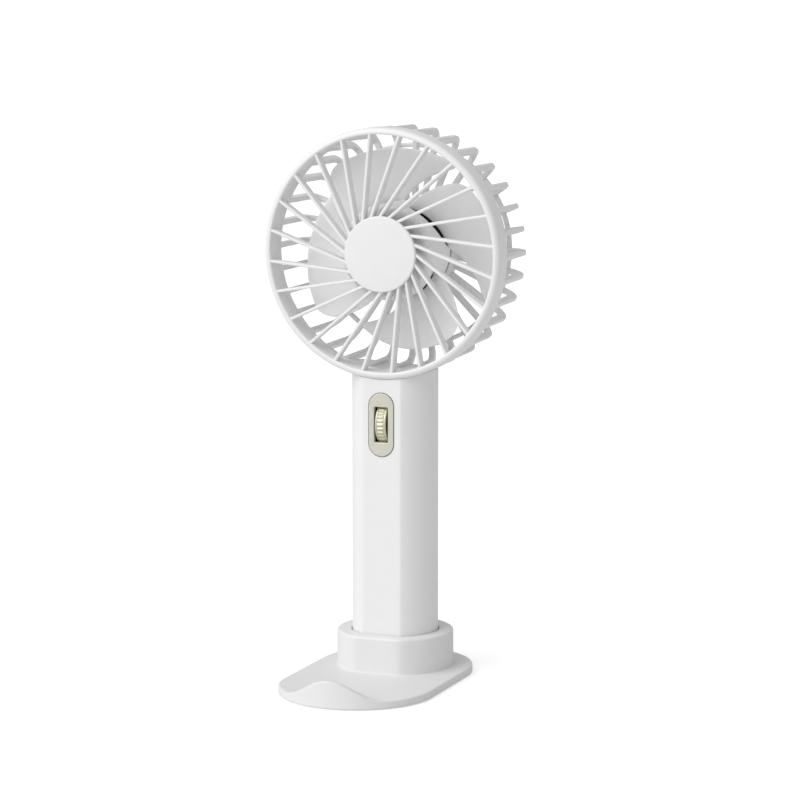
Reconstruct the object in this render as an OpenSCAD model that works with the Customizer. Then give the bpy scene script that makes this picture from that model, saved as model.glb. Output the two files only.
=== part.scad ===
// Handheld electric fan standing in its detachable desk stand.
// Millimetres, +Z up, front of the fan towards -Y.
// Origin: on the surface it stands on, straight below the axis of the handle.

/* [Stand] */
// Width of the stand's plate
plate_w = 56.4; // [50:1:64]
// Thickness of the stand's plate
plate_t = 3.1; // [2.8:0.1:4]
// Distance from the handle's axis to the middle of the rounded nose
nose_y = 36.7; // [30:1:44]
// Height of the phone lip above the surface, at its middle
lip_h = 10.2; // [7:0.2:14]
// Thickness of the phone lip
lip_t = 2.4; // [1.8:0.1:3.2]
// Half of the width over which the lip rises
lip_half = 19; // [16:0.5:22]
// Outer radius of the collar that holds the handle
collar_r = 21.2; // [19:0.1:23]
// Height of the collar above the surface
collar_h = 16.3; // [12:0.1:24]

/* [Handle] */
// Outer radius of the handle
handle_r = 15.6; // [15:0.1:17]
// Distance from the handle's axis to the flat face in front
flat_y = 13.8; // [13.4:0.1:14.4]
// Wall thickness of the handle
handle_wall = 1.5; // [1.2:0.1:1.7]
// Gap between the handle and the stand's socket
socket_gap = 0.35; // [0.3:0.05:0.6]

/* [Speed wheel] */
// Height of the wheel's axle above the surface
wheel_z = 93.1; // [88:0.5:95]
// Radius of the wheel
wheel_r = 9; // [8:0.1:9.4]
// Width of the wheel
wheel_w = 4.7; // [4:0.1:4.8]
// How far the wheel stands out of the flat face
wheel_out = 2.1; // [1.6:0.1:2.6]

/* [Head] */
// Height of the rotor's axis above the surface
head_z = 154.6; // [150:0.5:170]
// Outer radius of the front ring
ring_r = 45.8; // [44:0.1:48]
// Number of spokes in the front grille
spoke_n = 24; // [12:1:28]
// Number of ribs in the rear cage
rib_n = 32; // [24:4:36]
// Number of blades on the impeller
blade_n = 4; // [3:1:5]
// Radius to the tips of the blades
blade_r = 37; // [34:0.5:39]

/* [Hidden] */
$fn = 96;
eps = 0.01;

// stand
plate_r = plate_w / 2;
foot_gap = 0.3;
pad_r = plate_r - 3.4;
pad_t = 0.8;
weight_t = 1;
weight_r = plate_r - 6;
socket_r = handle_r + socket_gap;
socket_flat = flat_y + socket_gap;
collar_flat = collar_r - 1.8;
socket_floor = plate_t + 0.3;
lip_steps = 16;

// handle
bore_r = handle_r - handle_wall;
bore_flat = flat_y - handle_wall;
handle_low = socket_floor + 0.3;
cap_t = 2.2;
seam_r = ring_r + 0.3;
saddle_r = 43.4;
plug_h = 6.4;
plug_wall = 1.5;
plug_low = head_z - ring_r - plug_h;
neck_screw_x = 6.5;
neck_screw_z = plug_low + 2.6;
neck_screw_r = 1;
neck_screw_l = 6.7;
neck_screw_y = handle_r - 1.7;

// speed wheel and its bezel
wheel_y = -flat_y - wheel_out + wheel_r;
wheel_bore_r = 0.8;
axle_r = 0.75;
rim_step = 0.35;
bezel_w = 9.8;
bezel_h = 23.4;
bezel_out = 0.35;
slot_w = 5.4;
slot_h = 13.4;
sleeve_slot_w = 7;
sleeve_slot_h = 19;
knurl_n = 40;
knurl_r = 0.42;
bracket_w = 8;
bracket_h = 6;
cheek_t = 1;
sensor_x = 4.15;
sensor_w = 2.2;
sensor_h = 8.8;

// battery and board
cell_r = 9.1;
cell_h = 65;
cell_low = 9;
cell_y = 2;
cell_top = cell_low + cell_h;
cell_gap = 0.15;
cradle_wall = 1.7;
frame_gap = 0.1;
frame_floor = 1.4;
rail_w = 1.8;
tab_w = 5;
tab_l = 12;
tab_t = 0.1;
lead_r = 0.5;
lead_x = 1.2;
lead_y = cell_y - cell_r - 0.9;
lead_turn_z = cell_top + 4.5;
board_y = 4.6;
board_t = 1.2;
board_w = 19;
board_low = 80.5;
board_h = 24;
port_w = 9;
port_t = 3.3;
port_z = 90;
port_back = 15.1;
port_wall = 0.3;
tongue_w = 6.6;
tongue_t = 0.7;
lamp_r = 0.9;
lamp_z = 79;

// head: places along the rotor's axis, Y
ring_front = -15;
ring_back = -6.6;
ring_t = 2.2;
disc_r = 13.6;
disc_front = -15.4;
disc_t = 1.6;
spoke_w = 1.15;
spoke_front = -14.8;
spoke_deep = 4;
spoke_offset = 7.9;
spoke_turn = -5.76;
spoke_low = sqrt(pow(disc_r - 2.6, 2) - pow(spoke_offset, 2));
spoke_high = sqrt(pow(ring_r - ring_t + 0.8, 2) - pow(spoke_offset, 2));
rib_back = 20.4;
rib_t = 1.7;
rib_deep = 2.6;
rib_root_r = 45.2;
rib_tip_r = 43.9;
rib_bend = 6;
rib_turn = 12.17;
hoop_r = 36.6;
cup_r = 17.6;
cup_t = 1;
cup_front = 11.4;
hub_r = 17;
hub_wall = 0.7;
hub_front = -9.4;
hub_back = 8.2;
can_r = hub_r - hub_wall;
can_front = -5;
can_back = 12.6;
can_t = 0.9;
magnet_t = 1.8;
stator_r = 12.9;
tube_r = 3;
bush_r = 2.1;
shaft_r = 0.75;
bush_bore_r = 0.8;
base_front = 14.6;
base_t = 1.4;
base_r = 12;
cup_floor = base_front + base_t;
cup_floor_t = 1.6;
screw_ring_r = 9;
motor_lead_x = 6.5;
motor_lead_z = head_z - 8;
motor_lead_r = 1.1;

// blades: angles run clockwise from the top, seen from the front
lead_angle = 20;
lead_sweep = 1.36;
trail_angle = 88.3;
trail_sweep = 1.8;
blade_lead_y = -3.8;
blade_trail_y = 8;
blade_trail_rise = 0.2;
blade_t = 1.2;
tip_round = 5;
blade_rows = 8;
blade_cols = 10;

// ---- shared shapes ----

// round bar with a flat face towards -Y
module flat_bar(r, flat, h) {
    intersection() {
        cylinder(r = r, h = h);
        translate([-r - 1, -flat, -1])
            cube([2 * r + 2, r + flat + 1, h + 2]);
    }
}

// cylinder along Y, from y0 to y1, on the rotor's axis
module axis_bar(r, y0, y1) {
    translate([0, y1, head_z])
        rotate([90, 0, 0])
            cylinder(r = r, h = y1 - y0);
}

module axis_tube(r_out, r_in, y0, y1) {
    difference() {
        axis_bar(r_out, y0, y1);
        axis_bar(r_in, y0 - 1, y1 + 1);
    }
}

// turns what stands at 12 o'clock clockwise, seen from the front
module clock(angle) {
    translate([0, 0, head_z])
        rotate([0, angle, 0])
            children();
}

module stadium(r, length, h) {
    cylinder(r = r, h = h);
    translate([0, -length, 0])
        cylinder(r = r, h = h);
    translate([-r, -length, 0])
        cube([2 * r, length, h]);
}

// slot with round ends, upright on the flat face, cut along Y
module upright_slot(w, h, y0, y1) {
    translate([0, y1, wheel_z])
        rotate([90, 0, 0])
            linear_extrude(y1 - y0) {
                square([w, h - w], center = true);
                for (side = [-1, 1])
                    translate([0, side * (h - w) / 2])
                        circle(d = w);
            }
}

// slot with round ends, lying level at the height of the charging socket
module level_slot(w, t, y0, y1) {
    translate([0, y1, port_z])
        rotate([90, 0, 0])
            linear_extrude(y1 - y0) {
                square([w - t, t], center = true);
                for (side = [-1, 1])
                    translate([side * (w - t) / 2, 0])
                        circle(d = t, $fn = 32);
            }
}

// ---- stand ----

// the lip's height above the plate follows half a wave
function lip_top(x) = plate_t + (lip_h - plate_t) * (1 + cos(180 * x / lip_half)) / 2;

module lip_wall() {
    intersection() {
        difference() {
            translate([0, -nose_y, foot_gap])
                cylinder(r = plate_r, h = lip_h);
            translate([0, -nose_y, foot_gap - 1])
                cylinder(r = plate_r - lip_t, h = lip_h + 2);
        }
        translate([0, -nose_y, 0])
            rotate([90, 0, 0])
                linear_extrude(plate_r + 1)
                    polygon(concat([[-lip_half, foot_gap]],
                        [for (i = [0:lip_steps])
                            let (x = lip_half * (2 * i / lip_steps - 1)) [x, lip_top(x)]],
                        [[lip_half, foot_gap]]));
    }
}

module stand_shell() {
    color("white")
    difference() {
        union() {
            translate([0, 0, foot_gap])
                stadium(plate_r, nose_y, plate_t - foot_gap);
            translate([0, 0, foot_gap])
                flat_bar(collar_r, collar_flat, collar_h - foot_gap);
            lip_wall();
        }
        translate([0, 0, socket_floor])
            flat_bar(socket_r, socket_flat, collar_h);
        stadium(pad_r + 0.1, nose_y, pad_t);
        stadium(weight_r + 0.1, nose_y, pad_t + weight_t + 0.02);
    }
}

module stand_weight_plate() {
    color("dimgray")
    translate([0, 0, pad_t + 0.01])
        stadium(weight_r, nose_y, weight_t);
}

module stand_foot_pad() {
    color("gainsboro")
    stadium(pad_r, nose_y, pad_t - 0.01);
}

// ---- handle ----

module handle_sleeve() {
    color("white")
    difference() {
        translate([0, 0, handle_low])
            flat_bar(handle_r, flat_y, head_z - ring_r - handle_low + 8);
        translate([0, 0, handle_low - 1])
            flat_bar(bore_r, bore_flat, head_z - handle_low);
        axis_bar(seam_r, -handle_r - 2, handle_r + 2);
        upright_slot(sleeve_slot_w, sleeve_slot_h, -flat_y - 1, -bore_flat + 1);
        level_slot(port_w + 0.8, port_t + 0.8, 1, handle_r + 1);
        translate([0, bore_r - 1, lamp_z])
            rotate([-90, 0, 0])
                cylinder(r = lamp_r + 0.05, h = 5, $fn = 32);
        neck_screw_places()
            cylinder(r = neck_screw_r + 0.1, h = neck_screw_l, center = true, $fn = 32);
    }
}

// where the two screws at the back hold the sleeve to the plug of the cage
module neck_screw_places() {
    for (side = [-1, 1])
        translate([side * neck_screw_x, neck_screw_y, neck_screw_z])
            rotate([-90, 0, 0])
                children();
}

module sleeve_screws() {
    color("silver")
    neck_screw_places()
        translate([0, 0, -neck_screw_l])
            cylinder(r = neck_screw_r, h = neck_screw_l, $fn = 32);
}

module handle_end_cap() {
    color("whitesmoke")
    difference() {
        translate([0, 0, handle_low])
            flat_bar(bore_r - 0.05, bore_flat - 0.05, cap_t);
        translate([0, 0, handle_low + 1])
            flat_bar(bore_r - 2, bore_flat - 2, cap_t);
    }
}

module inner_frame() {
    frame_r = bore_r - frame_gap;
    frame_flat = bore_flat - frame_gap;
    color("lightgray")
    difference() {
        union() {
            for (z = [cell_low - frame_floor - 0.2, cell_top + 1])
                translate([0, 0, z])
                    flat_bar(frame_r, frame_flat, frame_floor);
            intersection() {
                translate([0, cell_y, cell_low - 1])
                    cylinder(r = cell_r + cradle_wall, h = cell_h + 3);
                translate([-frame_r, cell_y + 2, 0])
                    cube([2 * frame_r, frame_r, cell_top + 10]);
                flat_bar(frame_r, frame_flat, cell_top + 10);
            }
            for (side = [-1, 1])
                translate([side * (board_w / 2 + 0.2) - rail_w / 2, board_y - 1.6, cell_top + 2])
                    cube([rail_w, board_t + 3.2, plug_low - cell_top - 2.5]);
        }
        translate([0, cell_y, cell_low - cell_gap])
            cylinder(r = cell_r + cell_gap, h = cell_h + 1);
        translate([-board_w / 2 - 0.1, board_y - 0.1, board_low - 0.1])
            cube([board_w + 0.2, board_t + 0.2, board_h + 10]);
        translate([-lead_x - 0.8, lead_y - 1, 0])
            cube([2 * lead_x + 1.6, 4, cell_top + 10]);
        translate([-6, cell_y + cell_r - 2, cell_top - 2])
            cube([12, 10, 8]);
    }
}

module battery_cell() {
    color("steelblue")
    translate([0, cell_y, cell_low])
        union() {
            cylinder(r = cell_r, h = cell_h - 0.6);
            cylinder(r = 3, h = cell_h - 0.1);
        }
}

// one strip under the cell and one on top, each with an ear for its lead
module battery_tabs() {
    color("silver")
    for (side = [-1, 1])
        translate([0, 0, side < 0 ? cell_low - tab_t - 0.02 : cell_top - 0.08])
            union() {
                translate([-tab_w / 2, cell_y - tab_l / 2 - 2, 0])
                    cube([tab_w, tab_l, tab_t]);
                translate([side * lead_x - 0.7, lead_y - 0.6, 0])
                    cube([1.4, 3.4, tab_t]);
            }
}

// a lead rises beside the cell, runs back over it and up to the board
module battery_leads() {
    back_y = board_y - lead_r - 0.1;
    color("firebrick")
    for (side = [-1, 1]) {
        start_z = side < 0 ? cell_low : cell_top + 0.04;
        translate([side * lead_x, 0, 0])
            union() {
                translate([0, lead_y, start_z])
                    cylinder(r = lead_r, h = lead_turn_z - start_z, $fn = 16);
                translate([0, lead_y, lead_turn_z])
                    sphere(r = lead_r, $fn = 16);
                translate([0, lead_y, lead_turn_z])
                    rotate([-90, 0, 0])
                        cylinder(r = lead_r, h = back_y - lead_y, $fn = 16);
                translate([0, back_y, lead_turn_z])
                    sphere(r = lead_r, $fn = 16);
                translate([0, back_y, lead_turn_z])
                    cylinder(r = lead_r, h = board_low + 2 - lead_turn_z, $fn = 16);
            }
    }
}

module control_board() {
    color("seagreen")
    union() {
        translate([-board_w / 2, board_y, board_low])
            cube([board_w, board_t, board_h]);
        translate([-7.2, board_y - 1.1, board_low + 1])
            cube([5, 1.2, 5]);
        translate([2.2, board_y - 1.6, board_low + 1])
            cube([4, 1.7, 2]);
    }
}

module charge_port() {
    port_front = board_y + board_t;
    color("silver")
    difference() {
        level_slot(port_w - 0.1, port_t, port_front, port_back);
        difference() {
            level_slot(port_w - 0.1 - 2 * port_wall, port_t - 2 * port_wall, port_front + 2, port_back + 1);
            translate([-tongue_w / 2, board_y, port_z - tongue_t / 2])
                cube([tongue_w, port_back - board_y - 1.2, tongue_t]);
        }
    }
}

module status_lamp() {
    color("honeydew")
    translate([0, board_y + board_t, lamp_z])
        rotate([-90, 0, 0])
            union() {
                cylinder(r = lamp_r, h = handle_r - board_y - board_t - 0.1, $fn = 32);
                translate([0, -1.6, 0.05])
                    cylinder(r = lamp_r + 0.7, h = 2.5, $fn = 32);
            }
}

// ---- speed wheel ----

module switch_bezel() {
    color("tan")
    difference() {
        union() {
            upright_slot(bezel_w, bezel_h, -flat_y - bezel_out, -flat_y);
            upright_slot(sleeve_slot_w - 0.1, sleeve_slot_h - 0.1, -flat_y - 0.1, -bore_flat - 0.1);
        }
        translate([-slot_w / 2, -flat_y - 2, wheel_z - slot_h / 2])
            cube([slot_w, 6, slot_h]);
        translate([0, wheel_y, wheel_z])
            rotate([0, 90, 0])
                cylinder(r = wheel_r + 0.35, h = slot_w, center = true);
    }
}

module wheel_bracket() {
    cheek_deep = board_y - wheel_y + 2.9;
    color("dimgray")
    difference() {
        union() {
            for (side = [-1, 1])
                translate([side * (bracket_w - cheek_t) / 2, wheel_y - 3 + cheek_deep / 2, wheel_z])
                    cube([cheek_t, cheek_deep, bracket_h], center = true);
            translate([-bracket_w / 2, board_y - 1.8, wheel_z - bracket_h / 2])
                cube([bracket_w, 1.7, bracket_h]);
        }
        translate([0, wheel_y, wheel_z])
            rotate([0, 90, 0])
                cylinder(r = axle_r, h = 30, center = true, $fn = 48);
    }
}

module wheel_axle() {
    color("silver")
    translate([-bracket_w / 2 - 0.2, wheel_y, wheel_z])
        rotate([0, 90, 0])
            cylinder(r = axle_r, h = bracket_w + 0.4, $fn = 48);
}

module speed_wheel() {
    color("khaki")
    translate([0, wheel_y, wheel_z])
        rotate([0, 90, 0])
            difference() {
                union() {
                    cylinder(r = wheel_r, h = wheel_w - 2, center = true);
                    cylinder(r = wheel_r - rim_step, h = wheel_w, center = true);
                    cylinder(r = 2.4, h = wheel_w + 0.5, center = true);
                }
                cylinder(r = wheel_bore_r, h = 20, center = true, $fn = 48);
                for (i = [0:knurl_n - 1])
                    rotate([0, 0, i * 360 / knurl_n])
                        translate([wheel_r + 0.05, 0, 0])
                            cylinder(r = knurl_r, h = wheel_w - 1.9, center = true, $fn = 16);
            }
}

module dial_sensor() {
    color("midnightblue")
    translate([sensor_x, wheel_y - sensor_h / 2, wheel_z - sensor_h / 2])
        difference() {
            cube([sensor_w, board_y - wheel_y + sensor_h / 2 - 0.1, sensor_h]);
            translate([-1, sensor_h / 2, sensor_h / 2])
                rotate([0, 90, 0])
                    cylinder(r = axle_r + 0.3, h = 4, $fn = 32);
        }
}

// ---- front grille ----

module ring_profile() {
    r_in = ring_r - ring_t;
    union() {
        translate([r_in, -ring_back])
            square([ring_t, ring_back - ring_front - ring_t / 2]);
        translate([r_in + ring_t / 2, -ring_front - ring_t / 2])
            circle(d = ring_t, $fn = 32);
    }
}

module front_grille() {
    color("white")
    union() {
        translate([0, 0, head_z])
            rotate([90, 0, 0])
                rotate_extrude()
                    ring_profile();
        axis_bar(disc_r, disc_front, disc_front + disc_t);
        axis_bar(disc_r - 2, disc_front + disc_t - eps, disc_front + disc_t + 2.6);
        for (i = [0:spoke_n - 1])
            clock(spoke_turn + i * 360 / spoke_n + asin(spoke_offset / (ring_r - 3)))
                translate([-spoke_offset - spoke_w / 2, spoke_front, spoke_low])
                    cube([spoke_w, spoke_deep, spoke_high - spoke_low]);
    }
}

// ---- rear cage ----

// outline of one rib in the plane of the axis: x runs outwards, y runs back
module rib_outline() {
    difference() {
        rib_area(0);
        rib_area(rib_deep);
    }
}

module rib_area(inset) {
    r_tip = rib_tip_r - inset;
    r_root = rib_root_r - inset;
    y_back = rib_back - inset;
    bend = rib_bend - inset / 2;
    y_root = ring_back + (inset > 0 ? -1 : 0.4);
    r_low = inset > 0 ? 0 : cup_r - 0.5;
    polygon(concat(
        [[r_low, y_root], [r_root, y_root]],
        [for (a = [0:15:90])
            [r_tip - bend + bend * cos(a), y_back - bend + bend * sin(a)]],
        [[r_low, y_back]]));
}

module rear_cage() {
    color("white")
    difference() {
        union() {
            axis_tube(rib_root_r - 0.6, rib_root_r - 2.2, ring_back + 0.2, ring_back + 3);
            axis_tube(ring_r - ring_t - 0.1, ring_r - ring_t - 1.3, ring_back - 2, ring_back + 2.6);
            axis_tube(hoop_r + 0.8, hoop_r - 0.8, rib_back - 1.8, rib_back + 0.2);
            axis_tube(cup_r, cup_r - cup_t, cup_front, rib_back + 0.3);
            axis_bar(cup_r - 0.5, cup_floor, cup_floor + cup_floor_t);
            for (i = [0:rib_n - 1])
                clock(rib_turn + i * 360 / rib_n)
                    rotate([0, -90, 0])
                        translate([0, 0, -rib_t / 2])
                            linear_extrude(rib_t)
                                rib_outline();
            neck();
        }
        axis_bar(tube_r + 0.05, 0, cup_floor + 3);
        screw_places()
            cylinder(r = 0.85, h = 30, center = true, $fn = 32);
        motor_lead_hole();
        neck_screw_places()
            cylinder(r = neck_screw_r, h = 2 * neck_screw_l, center = true, $fn = 32);
    }
}

module motor_lead_hole() {
    translate([motor_lead_x, cup_floor + 2, motor_lead_z])
        rotate([90, 0, 0])
            cylinder(r = motor_lead_r + 0.2, h = 6, $fn = 32);
}

// saddle that closes the cage above the handle, with a plug that goes into the sleeve
module neck() {
    intersection() {
        translate([0, 0, head_z - ring_r - 1])
            flat_bar(handle_r, flat_y, 20);
        axis_tube(seam_r - 0.1, saddle_r, ring_back + 0.3, handle_r + 1);
    }
    difference() {
        intersection() {
            translate([0, 0, plug_low])
                flat_bar(bore_r - 0.1, bore_flat - 0.1, 20);
            axis_tube(seam_r + 20, seam_r - 1, ring_back + 0.5, bore_r + 1);
        }
        translate([0, 0, plug_low - 1])
            flat_bar(bore_r - 0.1 - plug_wall, 5, plug_h);
    }
}

module screw_places() {
    for (i = [0:2])
        translate([0, cup_floor, head_z])
            rotate([0, 60 + i * 120, 0])
                translate([0, 0, screw_ring_r])
                    rotate([-90, 0, 0])
                        children();
}

module motor_cover() {
    color("white")
    union() {
        axis_bar(cup_r - cup_t - 0.05, rib_back - 1.2, rib_back - 0.1);
        axis_tube(cup_r - cup_t - 0.05, cup_r - cup_t - 1, rib_back - 2.2, rib_back - 1);
    }
}

module motor_screws() {
    color("silver")
    screw_places()
        translate([0, 0, cup_floor_t + 0.05])
            union() {
                cylinder(r = 1.4, h = 0.45, $fn = 32);
                translate([0, 0, -3])
                    cylinder(r = 0.8, h = 3 + eps, $fn = 32);
            }
}

// ---- motor ----

module motor_base() {
    color("silver")
    difference() {
        union() {
            axis_bar(base_r, base_front, cup_floor);
            axis_bar(tube_r, -1.5, cup_floor + 2);
        }
        axis_bar(bush_r, -2, cup_floor + 1);
        screw_places()
            cylinder(r = 0.8, h = 30, center = true, $fn = 32);
        motor_lead_hole();
    }
}

module motor_bushes() {
    color("goldenrod")
    for (y = [-1.5, 11.5])
        axis_tube(bush_r, bush_bore_r, y, y + 3.5);
}

module motor_stator() {
    color("peru")
    difference() {
        union() {
            axis_bar(5, 0, 9);
            for (i = [0:8])
                clock(i * 40) {
                    translate([-1.3, 1, 4])
                        cube([2.6, 7, 7.4]);
                    intersection() {
                        translate([-3.6, 1.5, 11])
                            cube([7.2, 6, 2]);
                        translate([0, 10, 0])
                            rotate([90, 0, 0])
                                cylinder(r = stator_r, h = 20);
                    }
                }
        }
        axis_bar(tube_r + 0.02, -1, 10);
    }
}

module motor_board() {
    color("seagreen")
    axis_tube(12.5, tube_r + 0.1, 10.4, 11.4);
}

module motor_leads() {
    color("firebrick")
    translate([motor_lead_x, cup_floor + 1.7, motor_lead_z])
        rotate([90, 0, 0])
            cylinder(r = motor_lead_r, h = 6.2, $fn = 24);
}

module motor_shaft() {
    color("silver")
    axis_bar(shaft_r, -8.4, 15.4);
}

module rotor_can() {
    color("black")
    difference() {
        union() {
            axis_tube(can_r, can_r - can_t, can_front, can_back);
            axis_bar(can_r - 0.4, can_front, can_front + can_t);
            axis_bar(3.2, can_front - 2.8, can_front + can_t + 0.5);
        }
        axis_bar(shaft_r, can_front - 5, can_front + 5);
    }
}

module rotor_magnet() {
    color("darkslategray")
    axis_tube(can_r - can_t, can_r - can_t - magnet_t, -2, 10);
}

module shaft_clip() {
    color("dimgray")
    axis_tube(1.7, shaft_r, -2.1, -1.8);
}

// ---- impeller ----

function lead_at(r) = lead_angle + lead_sweep * (r - hub_r);
function trail_at(r) = trail_angle + trail_sweep * (r - hub_r);
function tip_cut(r) = r < blade_r - tip_round ? 0
    : tip_round - sqrt(pow(tip_round, 2) - pow(r - blade_r + tip_round, 2));
function edge_cut(r) = tip_cut(r) / r * 180 / PI;
function span_angle(r, s) =
    (lead_at(r) + edge_cut(r)) * (1 - s) + (trail_at(r) - edge_cut(r)) * s;
function span_y(r, s) =
    blade_lead_y * (1 - s) + (blade_trail_y + blade_trail_rise * (r - hub_r)) * s;
function blade_point(r, s, lift) =
    let (a = span_angle(r, s))
    [r * sin(a), span_y(r, s) + lift, r * cos(a)];

module blade() {
    row = blade_cols + 1;
    sheet = (blade_rows + 1) * row;
    points = [for (lift = [-blade_t / 2, blade_t / 2])
        for (i = [0:blade_rows])
            for (j = [0:blade_cols])
                blade_point(hub_r - 0.4 + (blade_r - hub_r + 0.4) * i / blade_rows,
                    j / blade_cols, lift)];
    quads = concat(
        [for (i = [0:blade_rows - 1]) for (j = [0:blade_cols - 1])
            let (a = i * row + j) [a, a + row, a + row + 1, a + 1]],
        [for (i = [0:blade_rows - 1]) for (j = [0:blade_cols - 1])
            let (a = sheet + i * row + j) [a, a + 1, a + row + 1, a + row]],
        [for (i = [0:blade_rows - 1]) for (j = [0, blade_cols])
            let (a = i * row + j) j == 0
                ? [a, a + sheet, a + sheet + row, a + row]
                : [a, a + row, a + row + sheet, a + sheet]],
        [for (i = [0, blade_rows]) for (j = [0:blade_cols - 1])
            let (a = i * row + j) i == 0
                ? [a, a + 1, a + 1 + sheet, a + sheet]
                : [a, a + sheet, a + sheet + 1, a + 1]]);
    triangles = [for (q = quads) for (t = [[q[0], q[1], q[2]], [q[0], q[2], q[3]]]) t];
    polyhedron(points, triangles);
}

module impeller() {
    color("white")
    difference() {
        union() {
            axis_bar(hub_r, hub_front + 2, hub_back);
            axis_bar(hub_r - 1.2, hub_front, hub_back);
            for (i = [0:blade_n - 1])
                clock(i * 360 / blade_n)
                    blade();
        }
        axis_bar(can_r, can_front, hub_back + 10);
        axis_bar(3.2, can_front - 2.8, can_front + 1);
        axis_bar(shaft_r, can_front - 4, 0);
    }
}

stand_shell();
stand_weight_plate();
stand_foot_pad();
handle_sleeve();
handle_end_cap();
sleeve_screws();
inner_frame();
battery_cell();
battery_tabs();
battery_leads();
control_board();
charge_port();
status_lamp();
switch_bezel();
wheel_bracket();
wheel_axle();
speed_wheel();
dial_sensor();
front_grille();
rear_cage();
motor_cover();
motor_screws();
motor_base();
motor_bushes();
motor_stator();
motor_board();
motor_leads();
motor_shaft();
rotor_can();
rotor_magnet();
shaft_clip();
impeller();
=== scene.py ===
import math

import bmesh
import bpy
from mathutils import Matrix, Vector


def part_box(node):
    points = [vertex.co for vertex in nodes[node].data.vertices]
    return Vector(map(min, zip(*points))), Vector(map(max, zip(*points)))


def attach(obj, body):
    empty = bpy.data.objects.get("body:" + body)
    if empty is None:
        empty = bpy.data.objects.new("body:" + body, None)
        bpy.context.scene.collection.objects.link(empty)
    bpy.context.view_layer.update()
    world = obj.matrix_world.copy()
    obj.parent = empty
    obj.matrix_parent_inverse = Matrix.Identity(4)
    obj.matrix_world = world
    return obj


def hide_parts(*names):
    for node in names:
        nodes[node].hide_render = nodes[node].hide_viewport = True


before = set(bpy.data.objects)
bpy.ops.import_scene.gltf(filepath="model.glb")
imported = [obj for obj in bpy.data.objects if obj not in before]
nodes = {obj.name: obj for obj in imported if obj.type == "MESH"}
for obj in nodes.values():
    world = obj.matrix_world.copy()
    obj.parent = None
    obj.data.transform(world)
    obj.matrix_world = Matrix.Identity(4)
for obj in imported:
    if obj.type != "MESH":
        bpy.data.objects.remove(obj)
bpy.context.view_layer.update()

# Handheld electric fan in its desk stand. Shapes are worked out in millimetres and made in metres.
mm = 0.001


def boxOf(node):
    low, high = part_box(node)
    return low / mm, high / mm


def middleOf(node):
    low, high = boxOf(node)
    return (low + high) / 2


headZ = middleOf("motor_shaft").z       # height of the rotor's axis
wheelAt = middleOf("wheel_axle")        # middle of the speed wheel
sleeveLow, sleeveHigh = boxOf("handle_sleeve")
shellLow, shellHigh = boxOf("stand_shell")
grilleLow, grilleHigh = boxOf("front_grille")

# Camera, lights and floor. Lengths are in millimetres, angles in degrees.

studio = {
    "azimuth": 21.55, "elevation": 8.53, "distance": 1240, "lens": 154.27, "sensor": 36,
    "aside": 1.69, "lookZ": 100.2,
    "skyLight": 0.54, "skyShown": 1.0,
    "keyFrom": (-0.26, -0.39, 0.38), "keyPower": 1.93, "keyWidth": 60,
    "floorColour": 0.72, "floorGlow": 0.05, "floorShown": 0.5, "floorSize": 8000,
}


def link(made):
    bpy.context.scene.collection.objects.link(made)
    return made


def makeCamera():
    turn, rise = math.radians(studio["azimuth"]), math.radians(studio["elevation"])
    right = Vector((math.cos(turn), math.sin(turn), 0))
    back = Vector((math.sin(turn) * math.cos(rise), -math.cos(turn) * math.cos(rise), math.sin(rise)))
    target = right * studio["aside"] + Vector((0, 0, studio["lookZ"]))
    data = bpy.data.cameras.new("camera")
    data.lens = studio["lens"]
    data.sensor_width = studio["sensor"]
    data.clip_start, data.clip_end = 0.05, 50
    camera = link(bpy.data.objects.new("camera", data))
    camera.location = (target + back * studio["distance"]) * mm
    camera.rotation_mode = "QUATERNION"
    camera.rotation_quaternion = (-back).to_track_quat("-Z", "Y")
    bpy.context.scene.camera = camera


def keyLight():
    # wide soft light from the upper left, as from a large diffusing sheet
    data = bpy.data.lights.new("key", "SUN")
    data.energy, data.angle = studio["keyPower"], math.radians(studio["keyWidth"])
    lamp = link(bpy.data.objects.new("key", data))
    lamp.rotation_mode = "QUATERNION"
    lamp.rotation_quaternion = (-Vector(studio["keyFrom"])).to_track_quat("-Z", "Y")


def makeSky():
    world = bpy.data.worlds.new("studio")
    bpy.context.scene.world = world
    world.use_nodes = True
    tree = world.node_tree
    tree.nodes.clear()
    path = tree.nodes.new("ShaderNodeLightPath")
    choose = tree.nodes.new("ShaderNodeMixShader")
    out = tree.nodes.new("ShaderNodeOutputWorld")
    for slot, strength in ((1, studio["skyLight"]), (2, studio["skyShown"])):
        background = tree.nodes.new("ShaderNodeBackground")
        background.inputs["Color"].default_value = (1, 1, 1, 1)
        background.inputs["Strength"].default_value = strength
        tree.links.new(background.outputs[0], choose.inputs[slot])
    tree.links.new(path.outputs["Is Camera Ray"], choose.inputs[0])
    tree.links.new(choose.outputs[0], out.inputs["Surface"])
    bpy.context.scene.view_settings.view_transform = "Standard"


makeCamera()
makeSky()
keyLight()
print("camera and lights are set")


class Wire:
    # a shader socket: sums on it add Math nodes
    def __init__(self, finish, socket):
        self.finish, self.socket = finish, socket

    def maths(self, kind, first, second):
        return self.finish.node("ShaderNodeMath", {"operation": kind}, {0: first, 1: second})

    def __add__(self, other):
        return self.maths("ADD", self, other)

    def __sub__(self, other):
        return self.maths("SUBTRACT", self, other)

    def __mul__(self, other):
        return self.maths("MULTIPLY", self, other)

    __radd__ = __add__


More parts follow.
